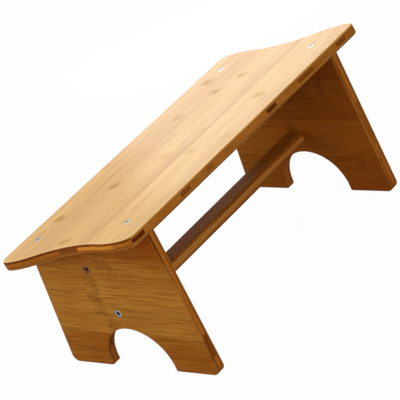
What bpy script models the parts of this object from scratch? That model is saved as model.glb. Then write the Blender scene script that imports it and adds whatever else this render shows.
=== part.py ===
"""Sloping bamboo footstool: a shaped tread board screwed down on two arched end panels tied by two rails.

Metres, +Z up, floor at Z = 0. X runs along the board, and the tread rises from the low side (-Y) to the
high side (+Y). The origin is on the floor under the middle of the stool.
"""

import math

import bmesh
import bpy
from mathutils import Matrix, Vector

# Clearance between pieces that touch
FIT_GAP = 0.0003

# Tread board
BOARD_WAIST_LENGTH = 0.397  # between the bottoms of the two end hollows
BOARD_WIDTH = 0.220  # up the slope
BOARD_THICKNESS = 0.012
BOARD_TILT = math.radians(11.0)
LOW_EDGE_HEIGHT = 0.153  # top of the low edge above the floor
END_LOBE = 0.010  # how far each end's two lobes stand past its hollow
LOBE_INSET = 0.026  # from a long edge to the crest of the lobe beside it
HOLLOW_RADIUS = 0.240
BOARD_CORNER_RADIUS = 0.012
BOARD_ROUND_OVER = 0.0025

# End panels
PANEL_SPAN = 0.350  # outer face to outer face
PANEL_THICKNESS = 0.012
FOOT_DEPTH = 0.216
LOW_SIDE_LEAN = math.radians(5.6)  # both upright edges lean in towards the top
HIGH_SIDE_LEAN = math.radians(4.2)
FOOT_CORNER_RADIUS = 0.008
ARCH_RADIUS = 0.0465
ARCH_SPRING_HEIGHT = 0.005  # the half round starts this far above the floor
ARCH_MOUTH_RADIUS = 0.002
PANEL_EDGE_EASE = 0.0012

# Rails
RAIL_WIDTH = 0.021
RAIL_HEIGHT = 0.014
RAIL_EDGE_EASE = 0.0012
LOWER_RAIL_Y = -0.002
LOWER_RAIL_OVER_ARCH = 0.013  # from the arch's crown to the rail's underside
UPPER_RAIL_Y = -0.019
UPPER_RAIL_UNDER_BOARD = 0.0240  # from the board's underside straight down to the rail's top

# Countersunk screws
SCREW_LENGTH = 0.040
SCREW_DIAMETER = 0.0045
SCREW_HEAD_DIAMETER = 0.0090
SCREW_HEAD_RIM = 0.0004
SCREW_TIP_LENGTH = 0.006
SCREW_HEAD_SINK = 0.0002
SCREW_INSET_LOW = 0.0175  # up the slope from the panels' low top corner to the screw
SCREW_INSET_HIGH = 0.0250  # down the slope from the panels' high top corner to the screw
RECESS_WIDTH = 0.0048
RECESS_SLOT = 0.0012
RECESS_DEPTH = 0.0021
RECESS_TAPER = 0.40  # width at the bottom of the recess over its width at the top

# Facets
HOLLOW_STEPS = 24
LOBE_STEPS = 12
CORNER_STEPS = 6
ARCH_STEPS = 18  # for each quarter of the arch
ROUND_OVER_STEPS = 4
EASE_STEPS = 2
SCREW_STEPS = 24

BAMBOO_LIGHT = (0.76, 0.48, 0.21)
BAMBOO_AMBER = (0.42, 0.20, 0.06)
BAMBOO_BROWN = (0.33, 0.14, 0.04)
ZINC = (0.66, 0.67, 0.68)


def clear_scene():
    for thing in list(bpy.data.objects):
        bpy.data.objects.remove(thing, do_unlink=True)


def material(name, colour, roughness, metallic):
    made = bpy.data.materials.new(name)
    made.use_nodes = True
    shader = made.node_tree.nodes["Principled BSDF"]
    shader.inputs["Base Color"].default_value = (*colour, 1.0)
    shader.inputs["Roughness"].default_value = roughness
    shader.inputs["Metallic"].default_value = metallic
    made.diffuse_color = (*colour, 1.0)
    return made


def arc(centre, radius, start, end, steps):
    """Points on a circle from angle start to angle end, both included."""
    angles = [start + (end - start) * i / steps for i in range(steps + 1)]
    return [centre + radius * Vector((math.cos(a), math.sin(a))) for a in angles]


def without_repeats(points):
    """The closed outline with points that coincide with the one before them left out."""
    kept = []
    for index, point in enumerate(points):
        if (point - points[index - 1]).length > FIT_GAP / 10:
            kept.append(point)
    return kept


def rounded_outline(corners):
    """A closed outline through corners of (position, fillet radius, arc steps)."""
    points = []
    for index, (corner, radius, steps) in enumerate(corners):
        before = (corners[index - 1][0] - corner).normalized()
        after = (corners[(index + 1) % len(corners)][0] - corner).normalized()
        if radius == 0:
            points.append(corner)
            continue
        half = before.angle(after) / 2
        centre = corner + (before + after).normalized() * (radius / math.sin(half))
        first = corner + before * (radius / math.tan(half)) - centre
        last = corner + after * (radius / math.tan(half)) - centre
        start = math.atan2(first.y, first.x)
        turn = math.remainder(math.atan2(last.y, last.x) - start, 2 * math.pi)
        points += arc(centre, radius, start, start + turn, steps)
    return without_repeats(points)


def board_end_outline():
    """One end of the board from its low long edge to its high one, as (x, distance up from the middle line).

    A wide hollow runs tangent into a lobe on each side, and each lobe runs tangent into a rounded corner.
    """
    half_width = BOARD_WIDTH / 2
    crest = half_width - LOBE_INSET
    sweep = 2 * math.atan(END_LOBE / crest)
    lobe_radius = crest / math.sin(sweep) - HOLLOW_RADIUS
    waist = BOARD_WAIST_LENGTH / 2
    lobe_centre = Vector((waist + END_LOBE - lobe_radius, crest))
    corner_rise = half_width - BOARD_CORNER_RADIUS - crest
    corner_turn = math.asin(corner_rise / (lobe_radius - BOARD_CORNER_RADIUS))
    corner_centre = lobe_centre + (lobe_radius - BOARD_CORNER_RADIUS) * Vector(
        (math.cos(corner_turn), math.sin(corner_turn))
    )
    hollow_centre = Vector((waist + HOLLOW_RADIUS, 0))
    hollow = arc(hollow_centre, HOLLOW_RADIUS, math.pi, math.pi - sweep, HOLLOW_STEPS // 2)
    lobe = arc(lobe_centre, lobe_radius, -sweep, corner_turn, LOBE_STEPS)
    corner = arc(corner_centre, BOARD_CORNER_RADIUS, corner_turn, math.pi / 2, CORNER_STEPS)
    upper_half = hollow + lobe[1:] + corner[1:]
    lower_half = [Vector((point.x, -point.y)) for point in reversed(upper_half[1:])]
    return lower_half + upper_half


def board_outline():
    """The whole board seen square on, turning left, as (x, distance up the slope from the low edge)."""
    end = board_end_outline()
    other_end = [Vector((-point.x, -point.y)) for point in end]
    lift = Vector((0, BOARD_WIDTH / 2))
    return [point + lift for point in end + other_end]


def underside_height(y):
    """Height of the board's underside straight above a point at this y."""
    drop = BOARD_THICKNESS / math.cos(BOARD_TILT)
    return LOW_EDGE_HEIGHT + (y - low_edge_y()) * math.tan(BOARD_TILT) - drop


def low_edge_y():
    """Where the top of the low edge stands, so that the board's plan is centred on the origin."""
    plan_depth = BOARD_WIDTH * math.cos(BOARD_TILT) + BOARD_THICKNESS * math.sin(BOARD_TILT)
    return -plan_depth / 2


def panel_top_corner(foot_y, slope):
    """Where an upright edge that starts at foot_y and leans by slope meets the seat under the board."""
    seat = underside_height(0) - FIT_GAP / math.cos(BOARD_TILT)
    height = (seat + foot_y * math.tan(BOARD_TILT)) / (1 - slope * math.tan(BOARD_TILT))
    return Vector((foot_y + slope * height, height))


def panel_corners():
    """The panel's two top corners as (y, z): low side, high side."""
    low = panel_top_corner(-FOOT_DEPTH / 2, math.tan(LOW_SIDE_LEAN))
    high = panel_top_corner(FOOT_DEPTH / 2, -math.tan(HIGH_SIDE_LEAN))
    return low, high


def panel_outline():
    """An end panel as (y, z): leaning sides, a sloping top and a half-round arch in the foot."""
    low_top, high_top = panel_corners()
    crown = ARCH_SPRING_HEIGHT + ARCH_RADIUS
    half_depth = FOOT_DEPTH / 2
    return rounded_outline(
        [
            (Vector((-half_depth, 0)), FOOT_CORNER_RADIUS, CORNER_STEPS),
            (Vector((-ARCH_RADIUS, 0)), ARCH_MOUTH_RADIUS, CORNER_STEPS // 2),
            (Vector((-ARCH_RADIUS, crown)), ARCH_RADIUS, ARCH_STEPS),
            (Vector((ARCH_RADIUS, crown)), ARCH_RADIUS, ARCH_STEPS),
            (Vector((ARCH_RADIUS, 0)), ARCH_MOUTH_RADIUS, CORNER_STEPS // 2),
            (Vector((half_depth, 0)), FOOT_CORNER_RADIUS, CORNER_STEPS),
            (high_top, 0, 0),
            (low_top, 0, 0),
        ]
    )


def add_object(name, bm, finish, parent=None):
    """Turns the finished bmesh into a named object with smooth curves and crisp corners."""
    bmesh.ops.recalc_face_normals(bm, faces=bm.faces)
    mesh = bpy.data.meshes.new(name)
    bm.to_mesh(mesh)
    bm.free()
    mesh.materials.append(finish)
    mesh.shade_smooth()
    mesh.set_sharp_from_angle(angle=math.radians(35))
    made = bpy.data.objects.new(name, mesh)
    made.parent = parent
    bpy.context.scene.collection.objects.link(made)
    return made


def plate(outline, thickness, to_space):
    """A flat plate of the outline's shape, thick along the outline's own normal, turned into place."""
    bm = bmesh.new()
    face = bm.faces.new([bm.verts.new((point.x, point.y, 0)) for point in outline])
    grown = bmesh.ops.extrude_face_region(bm, geom=[face])["geom"]
    far_side = [item for item in grown if isinstance(item, bmesh.types.BMVert)]
    bmesh.ops.translate(bm, verts=far_side, vec=(0, 0, thickness))
    bmesh.ops.transform(bm, verts=bm.verts, matrix=to_space)
    bmesh.ops.recalc_face_normals(bm, faces=bm.faces)
    return bm


def round_edges(bm, edges, radius, steps):
    bmesh.ops.bevel(
        bm, geom=edges, offset=radius, segments=steps, profile=0.5, affect="EDGES", clamp_overlap=True
    )


def turned(profile, steps):
    """A closed round piece about Z from a profile of (radius, height) that starts and ends on the axis."""
    bm = bmesh.new()
    first = bm.verts.new((0, 0, profile[0][1]))
    last = bm.verts.new((0, 0, profile[-1][1]))
    rings = []
    for radius, height in profile[1:-1]:
        circle = arc(Vector((0, 0)), radius, 0, 2 * math.pi, steps)[:-1]
        rings.append([bm.verts.new((point.x, point.y, height)) for point in circle])
    for i in range(steps):
        j = (i + 1) % steps
        bm.faces.new((first, rings[0][i], rings[0][j]))
        bm.faces.new((last, rings[-1][j], rings[-1][i]))
        for upper, lower in zip(rings, rings[1:]):
            bm.faces.new((upper[i], lower[i], lower[j], upper[j]))
    return bm


def screw_profile(clearance, head_top):
    """The screw from its head down to its point, grown by the clearance, with the head's flat at head_top."""
    head = SCREW_HEAD_DIAMETER / 2
    shank = SCREW_DIAMETER / 2
    cone_end = -SCREW_HEAD_RIM - (head - shank)
    # A clearance square to the 45 degree cone moves its ends down by this much
    cone_shift = clearance * math.tan(math.radians(22.5))
    return [
        (0, head_top),
        (head + clearance, head_top),
        (head + clearance, -SCREW_HEAD_RIM - cone_shift),
        (shank + clearance, cone_end - cone_shift),
        (shank + clearance, -SCREW_LENGTH + SCREW_TIP_LENGTH - clearance),
        (0, -SCREW_LENGTH - clearance),
    ]


def cross_recess():
    """The cross-shaped driver recess: four tapering wings, cut from just above the head's flat."""
    wing = RECESS_WIDTH / 2
    slot = RECESS_SLOT / 2
    quarter = [Vector((wing, -slot)), Vector((wing, slot)), Vector((slot, slot))]
    outline = []
    for turn in range(4):
        spin = Matrix.Rotation(turn * math.pi / 2, 2)
        outline += [spin @ point for point in quarter]
    bm = bmesh.new()
    face = bm.faces.new([bm.verts.new((point.x, point.y, RECESS_SLOT)) for point in outline])
    grown = bmesh.ops.extrude_face_region(bm, geom=[face])["geom"]
    for vert in [item for item in grown if isinstance(item, bmesh.types.BMVert)]:
        vert.co = Vector((vert.co.x * RECESS_TAPER, vert.co.y * RECESS_TAPER, -RECESS_DEPTH))
    return bm


def cutter(name, bm, parent, matrix, finish):
    """A shape that only cuts others."""
    made = add_object(name, bm, finish, parent)
    made.matrix_local = matrix
    made.hide_render = True
    made.display_type = "WIRE"
    return made


def cut(piece, tool):
    boolean = piece.modifiers.new(tool.name, "BOOLEAN")
    boolean.operation = "DIFFERENCE"
    boolean.solver = "EXACT"
    boolean.object = tool


def board(finish, parent):
    """The tread board, in the sloping frame whose Z = 0 is its top face and whose Y = 0 is its low edge."""
    bm = plate(board_outline(), BOARD_THICKNESS, Matrix.Translation((0, 0, -BOARD_THICKNESS)))
    rims = [edge for edge in bm.edges if abs(edge.verts[0].co.z - edge.verts[1].co.z) < FIT_GAP / 10]
    round_edges(bm, rims, BOARD_ROUND_OVER, ROUND_OVER_STEPS)
    return add_object("top_board", bm, finish, parent)


def panel(name, side, finish):
    """An end panel. Side is +1 or -1 along X. Its edges are eased except where it carries the board."""
    outline_to_space = Matrix(((0, 0, 1, 0), (1, 0, 0, 0), (0, 1, 0, 0), (0, 0, 0, 1)))
    centred = Matrix.Translation((-PANEL_THICKNESS / 2, 0, 0)) @ outline_to_space
    bm = plate(panel_outline(), PANEL_THICKNESS, centred)
    arch_top = ARCH_SPRING_HEIGHT + ARCH_RADIUS
    eased = []
    for edge in bm.edges:
        first, last = (vert.co for vert in edge.verts)
        across = abs(first.x - last.x) > FIT_GAP
        on_top = min(first.z, last.z) > arch_top + FIT_GAP
        if not across and not on_top:
            eased.append(edge)
    round_edges(bm, eased, PANEL_EDGE_EASE, EASE_STEPS)
    made = add_object(name, bm, finish)
    made.location.x = side * (PANEL_SPAN - PANEL_THICKNESS) / 2
    return made


def rail(name, y, z, finish):
    """A flat rail that reaches from panel to panel."""
    length = PANEL_SPAN - 2 * PANEL_THICKNESS - 2 * FIT_GAP
    bm = bmesh.new()
    bmesh.ops.create_cube(bm, size=1)
    bmesh.ops.scale(bm, verts=bm.verts, vec=(length, RAIL_WIDTH, RAIL_HEIGHT))
    long_edges = [e for e in bm.edges if abs(e.verts[0].co.x - e.verts[1].co.x) > length / 2]
    round_edges(bm, long_edges, RAIL_EDGE_EASE, EASE_STEPS)
    made = add_object(name, bm, finish)
    made.location = (0, y, z)
    return made


def screw(name, matrix, finish, parent, cuts):
    """A countersunk wood screw with its head up its own Z, and the hole that it makes in each of cuts."""
    made = add_object(name, turned(screw_profile(0, 0), SCREW_STEPS), finish, parent)
    sunk = matrix @ Matrix.Translation((0, 0, -SCREW_HEAD_SINK))
    made.matrix_local = sunk
    driver = cutter(name + "_recess", cross_recess(), made, Matrix.Identity(4), finish)
    cut(made, driver)
    profile = screw_profile(FIT_GAP, SCREW_HEAD_DIAMETER)
    hole = cutter(name + "_hole", turned(profile, SCREW_STEPS), parent, sunk, finish)
    for piece in cuts:
        cut(piece, hole)
    return made


def up_slope(corner):
    """How far up the board from its low edge a panel's (y, z) point lies."""
    along = (corner.x - low_edge_y()) * math.cos(BOARD_TILT)
    return along + (corner.y - LOW_EDGE_HEIGHT) * math.sin(BOARD_TILT)


def build():
    clear_scene()
    light = material("bamboo_light", BAMBOO_LIGHT, 0.42, 0.0)
    amber = material("bamboo_amber", BAMBOO_AMBER, 0.45, 0.0)
    brown = material("bamboo_brown", BAMBOO_BROWN, 0.45, 0.0)
    zinc = material("zinc_plated_steel", ZINC, 0.30, 1.0)

    slope = bpy.data.objects.new("tread_slope", None)
    slope.location = (0, low_edge_y(), LOW_EDGE_HEIGHT)
    slope.rotation_euler = (BOARD_TILT, 0, 0)
    bpy.context.scene.collection.objects.link(slope)

    tread = board(light, slope)
    panels = {"right": panel("right_leg", 1, amber), "left": panel("left_leg", -1, amber)}
    sides = {"right": 1, "left": -1}

    lower_z = ARCH_SPRING_HEIGHT + ARCH_RADIUS + LOWER_RAIL_OVER_ARCH + RAIL_HEIGHT / 2
    upper_z = underside_height(UPPER_RAIL_Y) - UPPER_RAIL_UNDER_BOARD - RAIL_HEIGHT / 2
    rail_places = {"lower_rail": (LOWER_RAIL_Y, lower_z), "upper_rail": (UPPER_RAIL_Y, upper_z)}

    low_corner, high_corner = panel_corners()
    front = up_slope(low_corner) + SCREW_INSET_LOW
    back = up_slope(high_corner) - SCREW_INSET_HIGH
    for side, sign in sides.items():
        x = sign * (PANEL_SPAN - PANEL_THICKNESS) / 2
        for row, reach in (("front", front), ("back", back)):
            place = Matrix.Translation((x, reach, 0))
            screw(f"top_screw_{side}_{row}", place, zinc, slope, [tread, panels[side]])

    for name, (y, z) in rail_places.items():
        made = rail(name, y, z, brown)
        for side, sign in sides.items():
            outward = Matrix.Rotation(sign * math.pi / 2, 4, "Y")
            place = Matrix.Translation((sign * PANEL_SPAN / 2, y, z)) @ outward
            screw(f"{name}_screw_{side}", place, zinc, None, [panels[side], made])


build()
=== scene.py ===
import math

import bpy
from mathutils import Matrix, Vector


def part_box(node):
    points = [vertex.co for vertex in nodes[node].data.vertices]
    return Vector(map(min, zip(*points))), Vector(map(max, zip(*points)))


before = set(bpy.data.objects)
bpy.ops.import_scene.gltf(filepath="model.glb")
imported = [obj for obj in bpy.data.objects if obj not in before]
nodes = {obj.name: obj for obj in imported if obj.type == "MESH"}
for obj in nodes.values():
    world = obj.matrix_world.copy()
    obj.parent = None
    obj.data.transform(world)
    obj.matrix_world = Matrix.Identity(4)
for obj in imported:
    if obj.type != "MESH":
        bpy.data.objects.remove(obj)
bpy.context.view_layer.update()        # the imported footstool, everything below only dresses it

print("frame loaded:", len(nodes), "pieces")


def toLinear(hexColour):
    channels = [int(hexColour[i:i + 2], 16) / 255 for i in (1, 3, 5)]
    linear = [c / 12.92 if c <= 0.04045 else ((c + 0.055) / 1.055) ** 2.4 for c in channels]
    return (*linear, 1.0)


def addNode(tree, kind, settings, links):
    node = tree.nodes.new("ShaderNode" + kind)
    for name, value in settings.items():
        setattr(node, name, value)
    for name, source in links.items():
        socket = node.inputs[name]
        if isinstance(source, bpy.types.ShaderNode):
            source = source.outputs[0]
        if isinstance(source, bpy.types.NodeSocket):
            tree.links.new(source, socket)
        else:
            socket.default_value = source
    return node


def newMaterial(name):
    made = bpy.data.materials.new(name)
    made.use_nodes = True
    made.node_tree.nodes.clear()
    return made, made.node_tree


plus = dict(operation="ADD")
minus = dict(operation="SUBTRACT")
times = dict(operation="MULTIPLY")
timesPlus = dict(operation="MULTIPLY_ADD")
positive = dict(operation="ABSOLUTE")
lesser = dict(operation="MINIMUM")
greater = dict(operation="MAXIMUM")
below = dict(operation="LESS_THAN")
whole = dict(operation="FLOOR")
held = dict(use_clamp=True)      # keeps the result between 0 and 1
darkening = dict(blend_type="MULTIPLY")
smooth = "SMOOTHSTEP"
straight = "LINEAR"


def stretch(tree, value, given, wanted, curve):
    # carries the given range of a value over to the wanted one, and keeps to its ends beyond
    return addNode(tree, "MapRange", dict(interpolation_type=curve), {
        "Value": value, "From Min": given[0], "From Max": given[1],
        "To Min": wanted[0], "To Max": wanted[1]})


def steppedTable(tree, where, steps):
    # four values, held from each start to the next
    ramp = addNode(tree, "ValToRGB", {}, {0: where})
    ramp.color_ramp.interpolation = "CONSTANT"
    for i, (start, values) in enumerate(steps):
        stop = ramp.color_ramp.elements[0] if i == 0 else ramp.color_ramp.elements.new(start)
        stop.position = start
        stop.color = values
    ramp.color_ramp.elements.remove(ramp.color_ramp.elements[-1])
    return (*addNode(tree, "SeparateColor", {}, {0: ramp}).outputs, ramp.outputs["Alpha"])


# Bamboo ply: flat-pressed strips in the two outer plies and a crosswise core, sanded and clear
# lacquered. To the eye each strip keeps its own tone, its nodes show as soft brown smudges with a
# few dark fibre ends, and the cut ends drink the lacquer and go dark.
bambooPly = dict(
    streakWidth=0.0030,      # bands of closer and wider fibre
    streakLength=0.075,
    streakDetail=2.0,
    streakSpan=(0.38, 0.68),
    fibreWidth=0.0009,       # fibre bundles, drawn about twice as coarse as they are
    fibreLength=0.040,
    fibreDetail=3.0,
    fibreSpan=(0.40, 0.68),
    fibreNoise=0.6,          # roughness of the noise that draws both
    fibreTwist=0.2,
    stripJump=0.37,          # sets each strip's fibres apart from its neighbour's
    noiseSpan=(0.3, 0.7),    # what the other noises keep within, near enough
    patchSize=0.050,         # where the streaks show more, and where less
    patchRun=0.4,            # under 1 draws the patches out along the fibre
    patchDetail=2.0,
    patchSpan=(0.35, 0.65),
    patchTone=0.5,
    paintedLightRun=(-0.090, 0.0),   # painted light: strips start out paler, and fade back over this run
    paintedLightTone=0.0,
    paintedShadeRun=(-0.150, 0.060),  # painted shade: cut edges start out darker, and fade back over this one
    paintedShadeTone=0.0,
    seamWidth=0.0008,
    seamFade=(0.15, 0.5),    # where node marks fade, with a strip's middle at 0 and its seam at 0.5
    nodeReach=0.0095,        # half the length of a node mark along the strip
    nodeRagged=0.014,        # how far its rows of fibre start apart
    nodeSway=0.016,          # how far it strays from straight across the strip
    nodeSwell=3.0,           # out to this many reaches the wood is paler and its fibres bow
    secondNode=1.0,          # strength of a strip's second node mark
    centreRun=(0.030, 0.090),              # feet rub node marks paler this near the middle
    centreNode=1.0,          # how much of them is left there
    rowHeight=0.0010,        # rows of fibre in a node mark, drawn coarser than they are
    rowSpan=(0.15, 0.9),
    blotchSize=0.0100,
    blotchRun=1.0,           # under 1 draws the blotches out along the fibre
    blotchDetail=2.0,
    blotchNoise=0.6,
    blotchSpan=(0.38, 0.60),
    glueLine=0.00045,
    wobble=0.008,            # how far the core's blocks stray from straight
    wobbleSize=0.0035,
    wobbleDetail=2.0,
    coreFibreWidth=0.0018,
    coreFibreDetail=3.0,
    coreFibreNoise=0.65,
    coreDots=(0.45, 1.3),
    coreDotShare=0.45,
    endDots=(0.35, 1.25),    # the fibre bundles seen end on
    endDotShare=0.35,
    sideRun=(0.0008, 0.0018),              # a side cut turns brown this far from the glue
    sideBrown=0.85,
    sideFibre=0.3,
    endTurn=0.2,             # how softly a side cut becomes an end cut round a corner
    cutFade=0.0004,          # depth over which the cut edge's colour begins
    levelSpan=(0.70, 0.95),  # a cut edge rounds over into the face as its normal passes these
    wearAndSheenSpan=(0.06, 0.22),
    satinSpan=(-0.05, 0.07),               # added to the roughness by the streaks
    dullEdge=0.30,           # added on the cut edges
    dullSpan=(0.2, 0.9),
    dullNode=0.35,           # added on the node marks
    lacquerIor=1.47,
    fibreRelief=0.00004,
    nodeRelief=0.00005,
    seamRelief=0.00006,
    reliefStrength=0.6,
)
colourNames = (
    "darkStrip", "lightStrip", "streakColour", "fibreColour", "nodeColour", "coreDark",
    "coreLight", "endDark", "endLight", "underEnd", "glueColour", "edgeColour", "sideDark",
    "sideLight")
tableReach = 0.5             # metres of strip that a strip table covers, half of it each way
noNode = tableReach / 2      # a place off the end of every strip


def stripLayout(tree, across, look):
    # the strip's number, the distance from its middle, and its four values in the strip table
    scaled = addNode(tree, "Math", timesPlus, {
        0: across, 1: 1 / look["stripWidth"], 2: look["stripShift"]})
    number = addNode(tree, "Math", whole, {0: scaled})
    inStrip = addNode(tree, "Math", dict(operation="FRACT"), {0: scaled})
    fromMiddle = addNode(tree, "Math", minus, {0: inStrip, 1: 0.5})
    count = len(look["stripTable"])
    line = addNode(tree, "Math", timesPlus, {0: number, 1: 1 / count, 2: 0.5 / count})
    steps = []
    for i, (firstNode, secondNode, tone, lean) in enumerate(look["stripTable"]):
        # a ramp holds no less than 0, so places and leans are packed into 0 to 1
        places = [place / tableReach + 0.5 for place in (firstNode, secondNode)]
        steps.append((i / count, (*places, tone, lean / 2 + 0.5)))
    return number, fromMiddle, steppedTable(tree, line, steps)


def nodeMarks(tree, along, across, number, toSeam, places, look):
    # where nodes cross the strips: their area, the swelling round it, its bow, their darkness
    scaledRow = addNode(tree, "Math", times, {0: across, 1: 1 / look["rowHeight"]})
    row = addNode(tree, "Math", whole, {0: scaledRow})
    rowSpace = addNode(tree, "CombineXYZ", {}, {0: row, 1: number})
    chance = addNode(tree, "TexWhiteNoise", dict(noise_dimensions="2D"), {"Vector": rowSpace})
    rowStart, rowShade, _ = addNode(
        tree, "SeparateColor", {}, {0: chance.outputs["Color"]}).outputs
    ragged = addNode(tree, "Math", timesPlus, {
        0: rowStart, 1: look["nodeRagged"], 2: -look["nodeRagged"] / 2})
    bowSpace = addNode(tree, "CombineXYZ", {}, {0: number, 1: across})
    bowNoise = addNode(tree, "TexNoise", {}, {"Vector": bowSpace, "Scale": 1 / look["blotchSize"]})
    bowLevel = addNode(tree, "Math", minus, {0: bowNoise, 1: 0.5})
    sway = addNode(tree, "Math", times, {0: bowLevel, 1: look["nodeSway"]})

    swayedDistances, raggedDistances, areas = [], [], []
    for nodePlace, strength in zip(places, (1.0, look["secondNode"])):
        place = addNode(tree, "Math", timesPlus, {0: nodePlace, 1: -tableReach, 2: tableReach / 2})
        toNode = addNode(tree, "Math", plus, {0: along, 1: place})
        swayed = addNode(tree, "Math", plus, {0: toNode, 1: sway})
        swayedDistances.append(addNode(tree, "Math", positive, {0: swayed}))
        started = addNode(tree, "Math", plus, {0: toNode, 1: ragged})
        raggedDistances.append(addNode(tree, "Math", positive, {0: started}))
        areas.append(stretch(
            tree, swayedDistances[-1], (0.0, look["nodeReach"]), (strength, 0.0), smooth))
    raggedNearer = addNode(tree, "Math", lesser, {0: raggedDistances[0], 1: raggedDistances[1]})
    swayedNearer = addNode(tree, "Math", lesser, {0: swayedDistances[0], 1: swayedDistances[1]})
    area = addNode(tree, "Math", greater, {0: areas[0], 1: areas[1]})
    swellReach = look["nodeReach"] * look["nodeSwell"]
    swell = stretch(tree, swayedNearer, (0.0, swellReach), (1.0, 0.0), smooth)

    # soft smudges that fade towards the seams, with ends of fibre in them
    inward = stretch(tree, toSeam, look["seamFade"], (look["stain"], look["seamStain"]), smooth)
    stain = addNode(tree, "Math", times, {0: area, 1: inward})
    dashes = stretch(tree, raggedNearer, (0.0, look["dashReach"]), (1.0, 0.0), smooth)
    fibreEnds = stretch(tree, rowShade, look["rowSpan"], (0.0, look["speck"]), straight)
    dashShade = addNode(tree, "Math", times, {0: dashes, 1: fibreEnds})
    stained = addNode(tree, "Math", greater, {0: stain, 1: dashShade})
    blotchRun = addNode(tree, "Math", times, {0: along, 1: look["blotchRun"]})
    blotchSpace = addNode(tree, "CombineXYZ", {}, {0: blotchRun, 1: across, 2: number})
    blotches = addNode(tree, "TexNoise", {}, {
        "Vector": blotchSpace, "Scale": 1 / look["blotchSize"],
        "Detail": look["blotchDetail"], "Roughness": look["blotchNoise"]})
    blotchShade = stretch(tree, blotches, look["blotchSpan"], (look["blotchFloor"], 1.0), smooth)
    blotched = addNode(tree, "Math", times, {0: stained, 1: blotchShade})
    fromCentre = addNode(tree, "Math", positive, {0: along})
    centreFade = stretch(tree, fromCentre, look["centreRun"], (look["centreNode"], 1.0), smooth)
    darkness = addNode(tree, "Math", times, {0: blotched, 1: centreFade})
    return area, swell, bowLevel, darkness


def strips(tree, along, across, depth, look):
    # the strips, which run along the first direction: their colour, relief, tone, fine fibre,
    # broad streak and node marks
    number, fromMiddle, table = stripLayout(tree, across, look)
    firstPlace, secondPlace, tableTone, tableLean = table
    toSeam = addNode(tree, "Math", positive, {0: fromMiddle})
    area, swell, bowLevel, nodeHere = nodeMarks(
        tree, along, across, number, toSeam, (firstPlace, secondPlace), look)

    # each strip's tone, from the table, its painted lighter end and the patches
    lean = addNode(tree, "Math", timesPlus, {0: tableLean, 1: 2.0, 2: -1.0})
    leaning = addNode(tree, "Math", timesPlus, {0: lean, 1: fromMiddle, 2: tableTone})
    paintedLightEnd = stretch(tree, along, look["paintedLightRun"], (look["paintedLightTone"], 0.0), smooth)
    stripTone = addNode(tree, "Math", plus, {0: leaning, 1: paintedLightEnd})
    patchRun = addNode(tree, "Math", times, {0: along, 1: look["patchRun"]})
    patchSpace = addNode(tree, "CombineXYZ", {}, {0: patchRun, 1: across, 2: depth})
    patches = addNode(tree, "TexNoise", {}, {
        "Vector": patchSpace, "Scale": 1 / look["patchSize"], "Detail": look["patchDetail"]})
    patchLevel = addNode(tree, "Math", minus, {0: patches, 1: 0.5})
    patchShare = stretch(tree, patches, look["patchSpan"], (look["calm"], 1.0), straight)
    tone = addNode(tree, "Math", {**timesPlus, **held}, {
        0: patchLevel, 1: look["patchTone"], 2: stripTone})

    # fibres, which bow round each node
    bow = addNode(tree, "Math", times, {0: swell, 1: bowLevel})
    acrossBowed = addNode(tree, "Math", timesPlus, {0: bow, 1: look["bow"], 2: across})
    shift = addNode(tree, "Math", times, {0: number, 1: look["stripJump"]})
    fibres = []
    for kind in ("streak", "fibre"):
        width, length = look[kind + "Width"], look[kind + "Length"]
        run = addNode(tree, "Math", timesPlus, {0: along, 1: width / length, 2: shift})
        space = addNode(tree, "CombineXYZ", {}, {0: run, 1: acrossBowed, 2: depth})
        fibres.append(addNode(tree, "TexNoise", {}, {
            "Vector": space, "Scale": 1 / width, "Detail": look[kind + "Detail"],
            "Roughness": look["fibreNoise"], "Distortion": look["fibreTwist"]}))
    streak, fibre = fibres

    strip = addNode(tree, "MixRGB", {}, {0: tone, 1: look["darkStrip"], 2: look["lightStrip"]})
    streakShade = stretch(tree, streak, look["streakSpan"], (0.0, look["streakDepth"]), straight)
    streakHere = addNode(tree, "Math", times, {0: streakShade, 1: patchShare})
    streaked = addNode(tree, "MixRGB", {}, {0: streakHere, 1: strip, 2: look["streakColour"]})
    fibreShade = stretch(tree, fibre, look["fibreSpan"], (0.0, look["fibreDepth"]), straight)
    fibred = addNode(tree, "MixRGB", {}, {0: fibreShade, 1: streaked, 2: look["fibreColour"]})
    halo = addNode(tree, "Math", times, {0: swell, 1: look["nodeHalo"]})
    haloed = addNode(tree, "MixRGB", {}, {0: halo, 1: fibred, 2: look["lightStrip"]})
    noded = addNode(tree, "MixRGB", {}, {0: nodeHere, 1: haloed, 2: look["nodeColour"]})

    # seams between neighbouring strips
    seamStart = 0.5 - look["seamWidth"] / look["stripWidth"]
    seam = stretch(tree, toSeam, (seamStart, 0.5), (0.0, look["seamDepth"]), smooth)
    seamed = addNode(tree, "MixRGB", {}, {0: seam, 1: noded, 2: look["fibreColour"]})

    nodeRise = addNode(tree, "Math", times, {0: area, 1: look["nodeRelief"]})
    rise = addNode(tree, "Math", timesPlus, {0: fibre, 1: look["fibreRelief"], 2: nodeRise})
    relief = addNode(tree, "Math", timesPlus, {0: seam, 1: -look["seamRelief"], 2: rise})
    return seamed, relief, tone, fibre, streak, nodeHere


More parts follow.
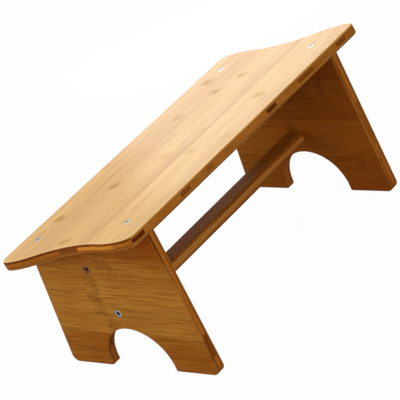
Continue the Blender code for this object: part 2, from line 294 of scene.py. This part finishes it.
def cutPlies(tree, nearGlue, inUnder, tone, fibre, streak, paintedShadeEnd, look):
    # the outer plies where they are cut across the grain, dark and dotted
    dots = stretch(tree, fibre, look["noiseSpan"], look["endDots"], straight)
    topEnd = addNode(tree, "MixRGB", {}, {0: tone, 1: look["endDark"], 2: look["endLight"]})
    endColour = addNode(tree, "MixRGB", {}, {0: inUnder, 1: topEnd, 2: look["underEnd"]})
    ends = addNode(tree, "MixRGB", darkening, {0: look["endDotShare"], 1: endColour, 2: dots})
    # and where they are cut along it, golden near the glue and browner by the face
    sideShare = stretch(tree, nearGlue, look["sideRun"], (0.0, look["sideBrown"]), smooth)
    fibreTones = (-look["sideFibre"], look["sideFibre"])
    sideFibre = stretch(tree, streak, look["noiseSpan"], fibreTones, straight)
    paintedShadeSide = addNode(tree, "Math", plus, {0: sideShare, 1: paintedShadeEnd})
    sideTone = addNode(tree, "Math", {**plus, **held}, {0: paintedShadeSide, 1: sideFibre})
    sides = addNode(tree, "MixRGB", {}, {0: sideTone, 1: look["sideLight"], 2: look["sideDark"]})
    return sides, ends


def corePly(tree, where, along, across, height, endShare, paintedShadeEnd, look):
    # the core, whose strips show on the edges as blocks, each of its own tone
    coreAlong, coreAcross = (across, along) if look["crossCore"] else (along, across)
    span = look["coreSpan"]
    wobble = addNode(tree, "TexNoise", {}, {
        "Vector": where, "Scale": 1 / look["wobbleSize"], "Detail": look["wobbleDetail"]})
    wobbled = addNode(tree, "Math", timesPlus, {
        0: wobble, 1: look["wobble"] / span, 2: 0.5 - look["wobble"] / span / 2})
    tones = []
    for direction, blocks in ((coreAcross, look["coreBlocks"]), (coreAlong, look["endBlocks"])):
        place = addNode(tree, "Math", timesPlus, {0: direction, 1: 1 / span, 2: wobbled})
        steps = [(start / span + 0.5, (value, value, value, 1.0)) for start, value in blocks]
        tones.append(steppedTable(tree, place, steps)[0])
    blockTone = addNode(tree, "Mix", {}, {"Factor": endShare, "A": tones[0], "B": tones[1]})
    coreTone = addNode(tree, "Math", {**minus, **held}, {0: blockTone, 1: paintedShadeEnd})
    fibreSlimness = look["fibreWidth"] / look["fibreLength"]
    coreRun = addNode(tree, "Math", times, {0: coreAlong, 1: fibreSlimness})
    coreSpace = addNode(tree, "CombineXYZ", {}, {0: coreRun, 1: coreAcross, 2: height})
    coreFibre = addNode(tree, "TexNoise", {}, {
        "Vector": coreSpace, "Scale": 1 / look["coreFibreWidth"],
        "Detail": look["coreFibreDetail"], "Roughness": look["coreFibreNoise"]})
    coreShade = stretch(tree, coreFibre, look["noiseSpan"], look["coreDots"], straight)
    coreColour = addNode(tree, "MixRGB", {}, {
        0: coreTone, 1: look["coreDark"], 2: look["coreLight"]})
    return addNode(tree, "MixRGB", darkening, {
        0: look["coreDotShare"], 1: coreColour, 2: coreShade})


def bambooPlyMaterial(name, look):
    made, tree = newMaterial(name)
    look = {**bambooPly, **look}
    for colourName in colourNames:
        look[colourName] = toLinear(look[colourName])

    # the piece's own directions: along its strips, across them, and out of its show face
    where = addNode(tree, "TexCoord", {}, {})
    turned = addNode(tree, "Mapping", dict(vector_type="TEXTURE"), {
        "Vector": where.outputs["Object"], "Location": look["origin"], "Rotation": look["turn"]})
    along, across, height = addNode(tree, "SeparateXYZ", {}, {0: turned}).outputs
    turnedNormal = addNode(tree, "Mapping", dict(vector_type="TEXTURE"), {
        "Vector": where.outputs["Normal"], "Rotation": look["turn"]})
    square = addNode(tree, "VectorMath", positive, {0: turnedNormal})
    squareAlong, squareAcross, squareFace = addNode(tree, "SeparateXYZ", {}, {0: square}).outputs

    # the plies, and how near the closer glue line is
    firstGlue, secondGlue = look["plies"]
    inUnder = addNode(tree, "Math", below, {0: height, 1: -secondGlue})
    belowTop = addNode(tree, "Math", below, {0: height, 1: -firstGlue})
    inCore = addNode(tree, "Math", minus, {0: belowTop, 1: inUnder})
    toGlue = []
    for glueDepth in look["plies"]:
        off = addNode(tree, "Math", plus, {0: height, 1: glueDepth})
        toGlue.append(addNode(tree, "Math", positive, {0: off}))
    nearGlue = addNode(tree, "Math", lesser, {0: toGlue[0], 1: toGlue[1]})
    shiftAlong, shiftAcross = look["underShift"]
    alongPly = addNode(tree, "Math", timesPlus, {0: inUnder, 1: shiftAlong, 2: along})
    acrossPly = addNode(tree, "Math", timesPlus, {0: inUnder, 1: shiftAcross, 2: across})
    face, relief, tone, fibre, streak, nodeHere = strips(tree, alongPly, acrossPly, height, look)

    # the cut edges, which take their colour a little below the show face, and leave it where the
    # underside turns level
    # painted shade: the cut edges are darker at the start of the strips, fading back along them
    paintedShadeEnd = stretch(tree, along, look["paintedShadeRun"], (look["paintedShadeTone"], 0.0), smooth)
    sides, ends = cutPlies(tree, nearGlue, inUnder, tone, fibre, streak, paintedShadeEnd, look)
    turnedOut = addNode(tree, "Math", minus, {0: squareAlong, 1: squareAcross})
    endShare = stretch(tree, turnedOut, (-look["endTurn"], look["endTurn"]), (0.0, 1.0), smooth)
    cutColour = addNode(tree, "MixRGB", {}, {0: endShare, 1: sides, 2: ends})
    cutEnd = -look["cutStart"] - look["cutFade"]
    deep = stretch(tree, height, (cutEnd, -look["cutStart"]), (1.0, 0.0), smooth)
    level = stretch(tree, squareFace, look["levelSpan"], (0.0, 1.0), smooth)
    underFace = addNode(tree, "Math", times, {0: level, 1: inUnder})
    cutShare = addNode(tree, "Math", {**minus, **held}, {0: deep, 1: underFace})
    underShare = addNode(tree, "Math", times, {0: inUnder, 1: look["underDepth"]})
    bothFaces = addNode(tree, "MixRGB", {}, {0: underShare, 1: face, 2: sides})
    outer = addNode(tree, "MixRGB", {}, {0: cutShare, 1: bothFaces, 2: cutColour})

    core = corePly(
        tree, where.outputs["Object"], along, across, height, endShare, paintedShadeEnd, look)
    plies = addNode(tree, "MixRGB", {}, {0: inCore, 1: outer, 2: core})
    glue = stretch(tree, nearGlue, (0.0, look["glueLine"]), (look["glueDepth"], 0.0), smooth)
    glued = addNode(tree, "MixRGB", {}, {0: glue, 1: plies, 2: look["glueColour"]})

    # rounded edges are painted paler, where the surface is neither face nor edge: partly rubbed
    # wear, partly a painted highlight along the roundover
    unsquare = addNode(tree, "Math", minus, {0: 1.0, 1: squareFace})
    corner = addNode(tree, "Math", times, {0: squareFace, 1: unsquare})
    rubbedAndSheen = stretch(tree, corner, look["wearAndSheenSpan"], (0.0, look["edgeWearAndSheen"]), smooth)
    wearSheenBelow = addNode(tree, "Math", times, {0: inUnder, 1: look["underWearAndSheen"]})
    wearSheenAbove = addNode(tree, "Math", {**minus, **held}, {0: 1.0, 1: deep})
    wearSheenShare = addNode(tree, "Math", greater, {0: wearSheenAbove, 1: wearSheenBelow})
    rubbedSheenHere = addNode(tree, "Math", times, {0: rubbedAndSheen, 1: wearSheenShare})
    final = addNode(tree, "MixRGB", {}, {0: rubbedSheenHere, 1: glued, 2: look["edgeColour"]})

    # lacquer lies thin and dull on the cut edges and the nodes, and its gloss stays low all over,
    # because the white studio in it would veil the wood
    satinRange = [look["roughness"] + added for added in look["satinSpan"]]
    satin = stretch(tree, streak, look["noiseSpan"], satinRange, straight)
    dull = stretch(tree, squareFace, look["dullSpan"], (look["dullEdge"], 0.0), smooth)
    rough = addNode(tree, "Math", plus, {0: satin, 1: dull})
    rougher = addNode(tree, "Math", timesPlus, {0: nodeHere, 1: look["dullNode"], 2: rough})
    bump = addNode(tree, "Bump", {}, {
        "Strength": look["reliefStrength"], "Distance": 1.0, "Height": relief})
    shader = addNode(tree, "BsdfPrincipled", {}, {
        "Base Color": final, "Roughness": rougher, "IOR": look["lacquerIor"],
        "Specular IOR Level": look["gloss"], "Normal": bump})
    addNode(tree, "OutputMaterial", {}, {0: shader})
    return made


def dress(material, *names):
    for name in names:
        nodes[name].data.materials.clear()
        nodes[name].data.materials.append(material)


# Tread board, pale honey ply with its strips along the stool
treadLook = dict(
    origin=(0.0, -0.1091238, 0.153),       # low long edge of the top face
    turn=(math.radians(11), 0.0, 0.0),
    plies=(0.0031, 0.0079),                # depths of the two glue lines
    crossCore=True,
    stripWidth=0.02105,
    stripShift=0.0,
    underShift=(0.113, 0.0090),            # keeps the under ply from repeating the top's strips
    stripTable=(             # each strip's two node places, its tone, and how that leans across it
        (noNode, 0.026, 0.50, 0.2), (0.131, -0.141, 0.36, 0.1), (noNode, -0.060, 0.26, 0.2),
        (0.079, -0.108, 0.32, 0.3), (0.187, -0.137, 0.56, 0.1), (noNode, 0.033, 0.62, -0.2),
        (noNode, -0.012, 0.34, -0.5), (noNode, 0.035, 0.80, -0.2), (noNode, -0.070, 0.74, 0.1),
        (noNode, 0.016, 0.56, -0.3), (noNode, noNode, 0.60, 0.2),
    ),
    coreSpan=0.440,
    coreBlocks=(             # where each crosswise strip starts, and its tone
        (-0.220, 0.55), (-0.183, 0.25), (-0.166, 0.60), (-0.148, 0.50), (-0.120, 0.22),
        (-0.092, 0.55), (-0.070, 0.62), (-0.049, 0.05), (-0.032, 0.60), (-0.010, 0.66),
        (0.012, 0.56), (0.031, 0.45), (0.046, 0.62), (0.067, 0.40), (0.079, 0.58),
        (0.106, 0.25), (0.123, 0.64), (0.142, 0.54), (0.161, 0.62), (0.184, 0.02),
        (0.204, 0.55),
    ),
    endBlocks=((-0.10, 0.46), (0.093, 0.22), (0.123, 0.98), (0.190, 0.56)),    # the board's ends
    darkStrip="#CB9C60", lightStrip="#EEC884",
    streakColour="#BE8A56", streakDepth=0.80, calm=0.25,
    fibreColour="#B3855D", fibreDepth=0.40,
    nodeColour="#9C6C2A", stain=0.66, seamStain=0.18, secondNode=0.80, centreNode=0.45,
    speck=0.26, dashReach=0.0060,
    blotchFloor=0.62, blotchRun=0.4, nodeSway=0.007, nodeReach=0.0105, nodeHalo=0.10, bow=0.003,
    seamDepth=0.30,
    endDark="#642A02", endLight="#84440C", underEnd="#965A1C",
    sideDark="#8A4E12", sideLight="#B47830", cutStart=0.0006, underDepth=0.30, underWearAndSheen=0.0,
    coreDark="#5E2202", coreLight="#D0802A",
    glueColour="#4A2404", glueDepth=0.85,
    # pale rounded edges: partly rubbed wear, partly a painted highlight along the roundover
    edgeColour="#F8D4A0", edgeWearAndSheen=0.70,
    gloss=0.03, roughness=0.36,
)
dress(bambooPlyMaterial("clearLacqueredHoneyBambooPly", treadLook), "top_board")
print("tread board dressed")


# End panels, amber ply with its strips level: they run along Y, stack up Z and show along X
legTurn = tuple(Matrix(((0, 0, 1), (1, 0, 0), (0, 1, 0))).to_euler())
legStripWidth = 0.026
legSeamHeight = 0.044        # the seam that shows above each foot
legStripsBelow = 2           # strips under that seam
amberLook = dict(
    turn=legTurn,
    plies=(0.0034, 0.0086),
    crossCore=True,
    stripWidth=legStripWidth,
    stripShift=legStripsBelow - legSeamHeight / legStripWidth,
    underShift=(0.047, 0.0),
    coreSpan=0.230,
    darkStrip="#964A04", lightStrip="#CC943A",
    streakColour="#7E3E08", streakDepth=0.75, calm=0.35,
    fibreColour="#602C02", fibreDepth=0.60,
    nodeReach=0.0100, nodeRagged=0.019, blotchSize=0.0120,
    nodeColour="#582404", stain=0.34, seamStain=0.26, speck=0.85, dashReach=0.0046,
    blotchFloor=0.50, nodeHalo=0.12, bow=0.007,
    seamDepth=0.45,
    endDark="#6E3006", endLight="#D0883A", underEnd="#9A5618",
    sideDark="#743A0C", sideLight="#A86822", cutStart=0.0005, underDepth=0.0, underWearAndSheen=1.0,
    coreDark="#6A2C06", coreLight="#BA6C22",
    glueColour="#46200A", glueDepth=0.8,
    # pale rounded edges: partly rubbed wear, partly a painted highlight along the roundover
    edgeColour="#D08C42", edgeWearAndSheen=0.45,
    gloss=0.02, roughness=0.42,
)
rightLook = dict(
    amberLook,
    origin=(0.175, 0.0, 0.0),              # outer face, the one that shows
    stripTable=(
        (noNode, noNode, 0.28, 0.1), (noNode, noNode, 0.26, 0.1), (-0.018, noNode, 0.60, -0.1),
        (-0.023, -0.028, 0.66, 0.0), (-0.020, noNode, 0.58, -0.3), (0.005, 0.016, 0.36, -0.5),
        # the top strips, just under the tread board, are darker: partly their own tone, partly
        # painted shade under the board
        (noNode, noNode, 0.06, -0.2), (noNode, noNode, 0.06, 0.0),
    ),
    coreBlocks=(
        (-0.115, 0.6), (-0.090, 0.4), (-0.071, 0.8), (-0.052, 0.5), (-0.033, 0.3), (-0.014, 0.7),
        (0.005, 0.5), (0.024, 0.75), (0.043, 0.35), (0.062, 0.6), (0.081, 0.8),
    ),
    endBlocks=((-0.10, 0.84), (0.022, 0.28), (0.047, 0.88), (0.105, 0.98)),
)
leftLook = dict(
    amberLook,
    origin=(-0.163, 0.0, 0.0),             # inner face, the one that shows beside the rail
    # darker strips than the right panel's: painted shade, for the tread board's shade over this
    # inner face
    darkStrip="#7C3604", lightStrip="#B06A1E",
    stripTable=(
        (noNode, noNode, 0.26, 0.1), (0.078, noNode, 0.30, -0.1), (noNode, noNode, 0.50, 0.1),
        (-0.004, noNode, 0.50, 0.0), (-0.056, noNode, 0.42, 0.2), (0.064, noNode, 0.36, -0.1),
        (0.020, noNode, 0.26, 0.1), (noNode, noNode, 0.30, 0.0),
    ),
    coreBlocks=(
        (-0.115, 0.5), (-0.094, 0.7), (-0.075, 0.4), (-0.056, 0.6), (-0.037, 0.8), (-0.018, 0.4),
        (0.001, 0.65), (0.020, 0.5), (0.039, 0.75), (0.058, 0.4), (0.077, 0.7),
    ),
    endBlocks=((-0.10, 0.80), (0.060, 0.60), (0.120, 0.45)),
    # paler towards its low side: painted light, where the low side's lamp reaches in under the
    # tread board
    speck=0.70, paintedLightTone=0.45,
)
dress(bambooPlyMaterial("clearLacqueredAmberBambooPlyRight", rightLook), "right_leg")
dress(bambooPlyMaterial("clearLacqueredAmberBambooPlyLeft", leftLook), "left_leg")
print("end panels dressed")


# Rails, three layers of amber bamboo all running lengthwise, so the golden core shows as a plain
# band along each side
railLook = dict(
    turn=(0.0, 0.0, 0.0),
    plies=(0.0045, 0.0098),
    crossCore=False,
    stripWidth=0.0105,
    stripShift=0.0,
    underShift=(0.061, 0.0),
    stripTable=((0.090, -0.130, 0.40, 0.1), (-0.040, noNode, 0.60, -0.1)),
    coreSpan=0.060,
    coreBlocks=((-0.030, 0.55), (0.0, 0.75)),
    endBlocks=((-0.030, 0.55), (0.0, 0.75)),
    darkStrip="#824610", lightStrip="#A86A20",
    streakColour="#743C0C", streakDepth=0.7, calm=0.4,
    fibreColour="#5E300A", fibreDepth=0.55,
    nodeColour="#4A2206", stain=0.30, seamStain=0.20, speck=0.50, dashReach=0.0030,
    blotchFloor=0.4, nodeHalo=0.1, bow=0.002,
    seamDepth=0.25,
    endDark="#6E2E08", endLight="#9A5A20", underEnd="#7E4412",
    sideDark="#82400E", sideLight="#D08A3E", cutStart=0.0005, underDepth=0.0, underWearAndSheen=1.0,
    # the rails' cut sides are painted darker towards their far end: painted shade, deeper under the
    # tread board
    coreDark="#A2581A", coreLight="#DE9A46", paintedShadeTone=0.38,
    glueColour="#4E2408", glueDepth=0.7,
    # pale rounded edges: partly rubbed wear, partly a painted highlight along the roundover
    edgeColour="#C08444", edgeWearAndSheen=0.45,
    gloss=0.01, roughness=0.40,
)
for railName in ("lower_rail", "upper_rail"):
    low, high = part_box(railName)
    railLook["origin"] = (0.0, low.y, high.z)
    dress(bambooPlyMaterial("clearLacqueredAmberBamboo_" + railName, railLook), railName)
print("rails dressed")


# Zinc plated steel screws, pressed and plated, so the head is bright and cloudy. In and round the
# driver recess it is darkened: painted shade, with some grime, and its rim carries a painted shadow
screwLook = dict(
    colour="#A4AAAC", dull="#6E7476", grimeAndShade="#101214",
    creviceSize=0.0026, creviceSpan=(0.45, 0.92), creviceSamples=8,
    grimeShadeOffset=(0.0, 0.0, 0.0), grimeShadeRadius=0.0, grimeShadeFade=0.0006,
    rimSpan=(0.0034, 0.0046), rimShade=0.0,
    cloudSize=0.0018, cloudDetail=3.0, cloudSpan=(0.45, 0.75), cloudShade=0.35,
    roughness=0.50, roughSpan=(-0.07, 0.12), noiseSpan=(0.3, 0.7),
    relief=0.00003, reliefStrength=0.3,
)
sideScrewLook = dict(
    screwLook, colour="#9AA6AA", dull="#56646C", grimeAndShade="#06080A",
    grimeShadeOffset=(0.0, 0.0003, 0.0003), grimeShadeRadius=0.0026, rimShade=0.6, roughness=0.34)
# the upper rail's screws are painted as dark brown zinc: painted shade, for the tread board's shade
# over them
shadedScrewLook = dict(
    screwLook, colour="#70482C", dull="#4E2E18", grimeAndShade="#180A04",
    grimeShadeOffset=(0.0, 0.0008, 0.0006), grimeShadeRadius=0.0026, rimShade=0.5, roughness=0.40)


def zincMaterial(name, look, *screws):
    made, tree = newMaterial(name)
    where = addNode(tree, "TexCoord", {}, {}).outputs["Object"]
    clouds = addNode(tree, "TexNoise", {}, {
        "Vector": where, "Scale": 1 / look["cloudSize"], "Detail": look["cloudDetail"]})
    # painted shade: the head darkens where its own recess hems it in
    crevice = addNode(
        tree, "AmbientOcclusion", dict(only_local=True, samples=look["creviceSamples"]),
        {"Distance": look["creviceSize"]})
    depth = stretch(tree, crevice.outputs["AO"], look["creviceSpan"], (1.0, 0.0), smooth)
    # the two screws of a rail mirror each other, so one middle does for both
    low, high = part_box(screws[0])
    headMiddle = Vector((high.x, (low.y + high.y) / 2, (low.z + high.z) / 2))
    middle = headMiddle + Vector(look["grimeShadeOffset"])
    mirrored = addNode(tree, "VectorMath", positive, {0: where})
    sameSide = addNode(tree, "VectorMath", times, {0: mirrored, 1: (1.0, 0.0, 0.0)})
    level = addNode(tree, "VectorMath", timesPlus, {0: where, 1: (0.0, 1.0, 1.0), 2: sameSide})
    apart = addNode(tree, "VectorMath", dict(operation="DISTANCE"), {0: level, 1: middle})
    toMiddle = apart.outputs["Value"]
    # a dark middle round the recess, partly grime and partly painted shade, and a dark rim, painted
    # shadow in the countersink
    radii = (look["grimeShadeRadius"] - look["grimeShadeFade"], look["grimeShadeRadius"] + look["grimeShadeFade"])
    inMiddle = stretch(tree, toMiddle, radii, (1.0, 0.0), smooth)
    atRim = stretch(tree, toMiddle, look["rimSpan"], (0.0, look["rimShade"]), smooth)
    middleOrRim = addNode(tree, "Math", greater, {0: atRim, 1: inMiddle})
    dark = addNode(tree, "Math", greater, {0: depth, 1: middleOrRim})
    cloudShare = stretch(tree, clouds, look["cloudSpan"], (0.0, look["cloudShade"]), straight)
    plated = addNode(tree, "MixRGB", {}, {
        0: cloudShare, 1: toLinear(look["colour"]), 2: toLinear(look["dull"])})
    colour = addNode(tree, "MixRGB", {}, {0: dark, 1: plated, 2: toLinear(look["grimeAndShade"])})
    roughRange = [look["roughness"] + added for added in look["roughSpan"]]
    rough = stretch(tree, clouds, look["noiseSpan"], roughRange, straight)
    bump = addNode(tree, "Bump", {}, {
        "Strength": look["reliefStrength"], "Distance": look["relief"], "Height": clouds})
    shader = addNode(tree, "BsdfPrincipled", {}, {
        "Base Color": colour, "Metallic": 1.0, "Roughness": rough, "Normal": bump})
    addNode(tree, "OutputMaterial", {}, {0: shader})
    dress(made, *screws)


topScrews = [name for name in nodes if name.startswith("top_screw")]
zincMaterial("brightZincPlatedSteel", screwLook, *topScrews)
zincMaterial(
    "dullZincPlatedSteel", sideScrewLook, "lower_rail_screw_right", "lower_rail_screw_left")
zincMaterial(
    "shadePaintedZincPlatedSteel", shadedScrewLook, "upper_rail_screw_right", "upper_rail_screw_left")
print("screws dressed")


# Plain white studio sweep of matt paper: white to the eye and in reflections, and a little darker
# to the lamps
studio = dict(
    floorSize=6.0,
    floorDrop=0.0002,        # keeps the floor just clear of the feet
    floorColour="#BDBBB7",
    floorWhite=0.975,        # share of the floor that shows as plain white, the rest takes shadow
    worldColour="#FFFFFF",
    worldLevel=0.32,         # its light on matt surfaces
)


def whiteRays(tree):
    # rays that see the studio as plain white: straight from the lens, or by way of metal and glass
    rays = addNode(tree, "LightPath", {}, {}).outputs
    lensOrGloss = addNode(tree, "Math", greater, {
        0: rays["Is Camera Ray"], 1: rays["Is Glossy Ray"]})
    return rays, addNode(tree, "Math", greater, {0: lensOrGloss, 1: rays["Is Transmission Ray"]})


def makeFloor(look):
    half = look["floorSize"] / 2
    mesh = bpy.data.meshes.new("studioFloor")
    outline = ((-half, -half), (half, -half), (half, half), (-half, half))
    mesh.from_pydata([(x, y, -look["floorDrop"]) for x, y in outline], [], [(0, 1, 2, 3)])
    floor = bpy.data.objects.new("studioFloor", mesh)
    bpy.context.scene.collection.objects.link(floor)
    made, tree = newMaterial("mattPaperSweep")
    rays, seen = whiteRays(tree)
    share = addNode(tree, "Math", times, {0: seen, 1: look["floorWhite"]})
    paper = addNode(tree, "BsdfDiffuse", {}, {"Color": toLinear(look["floorColour"])})
    white = addNode(tree, "Emission", {}, {"Color": (1, 1, 1, 1), "Strength": 1.0})
    shown = addNode(tree, "MixShader", {}, {0: share, 1: paper, 2: white})
    # from underneath the paper is clear, so that the stool's underside can be looked at
    side = addNode(tree, "NewGeometry", {}, {})
    fromBelow = addNode(tree, "Math", times, {
        0: side.outputs["Backfacing"], 1: rays["Is Camera Ray"]})
    clear = addNode(tree, "BsdfTransparent", {}, {})
    both = addNode(tree, "MixShader", {}, {0: fromBelow, 1: shown, 2: clear})
    addNode(tree, "OutputMaterial", {}, {0: both})
    mesh.materials.append(made)


def makeWorld(look):
    world = bpy.data.worlds.new("studioWorld")
    world.use_nodes = True
    tree = world.node_tree
    tree.nodes.clear()
    _, seen = whiteRays(tree)
    level = stretch(tree, seen, (0.0, 1.0), (look["worldLevel"], 1.0), straight)
    sky = addNode(tree, "Background", {}, {
        "Color": toLinear(look["worldColour"]), "Strength": level})
    addNode(tree, "OutputWorld", {}, {0: sky})
    bpy.context.scene.world = world


makeFloor(studio)
makeWorld(studio)

# Soft boxes: a large one overhead, weaker ones on the near, low and high sides, and a small one
# low beyond the far end, which the tread board's lacquer catches
lamps = dict(
    overhead=dict(place=(-0.12, -0.10, 1.60), aim=(0.0, 0.0, 0.15), size=1.3, power=12.5),
    nearSide=dict(place=(1.60, 0.60, 0.75), aim=(0.1, 0.0, 0.08), size=0.9, power=8.2),
    lowSide=dict(place=(0.85, -1.15, 0.55), aim=(0.0, 0.0, 0.10), size=0.7, power=8.0),
    highSide=dict(place=(0.30, 1.70, 0.80), aim=(0.0, 0.0, 0.12), size=0.9, power=7.0),
    farCard=dict(place=(-0.60, -0.52, 0.27), aim=(-0.15, 0.0, 0.17), size=0.45, power=2.5),
)
for lampName, look in lamps.items():
    light = bpy.data.lights.new(lampName, "AREA")
    light.size = look["size"]
    light.energy = look["power"]
    lamp = bpy.data.objects.new(lampName, light)
    lamp.location = look["place"]
    lamp.visible_camera = False
    lamp.rotation_mode = "QUATERNION"
    towards = Vector(look["aim"]) - Vector(look["place"])
    lamp.rotation_quaternion = towards.to_track_quat("-Z", "Y")
    bpy.context.scene.collection.objects.link(lamp)
print("studio lit")

# Camera as the photograph was taken: a long lens, held well out of level
view = dict(
    place=(1.529771, 1.751182, 1.196175),
    aim=(0.002674, -0.007361, 0.098069),
    roll=-23.9915,
    lens=213.451,
    sensorWidth=36.0,
)
cameraData = bpy.data.cameras.new("productCamera")
cameraData.lens = view["lens"]
cameraData.sensor_width = view["sensorWidth"]
camera = bpy.data.objects.new("productCamera", cameraData)
camera.location = view["place"]
camera.rotation_mode = "QUATERNION"
towards = Vector(view["aim"]) - Vector(view["place"])
roll = Matrix.Rotation(math.radians(view["roll"]), 3, "Z").to_quaternion()
camera.rotation_quaternion = towards.to_track_quat("-Z", "Y") @ roll
bpy.context.scene.collection.objects.link(camera)
bpy.context.scene.camera = camera
bpy.context.scene.view_settings.view_transform = "Standard"
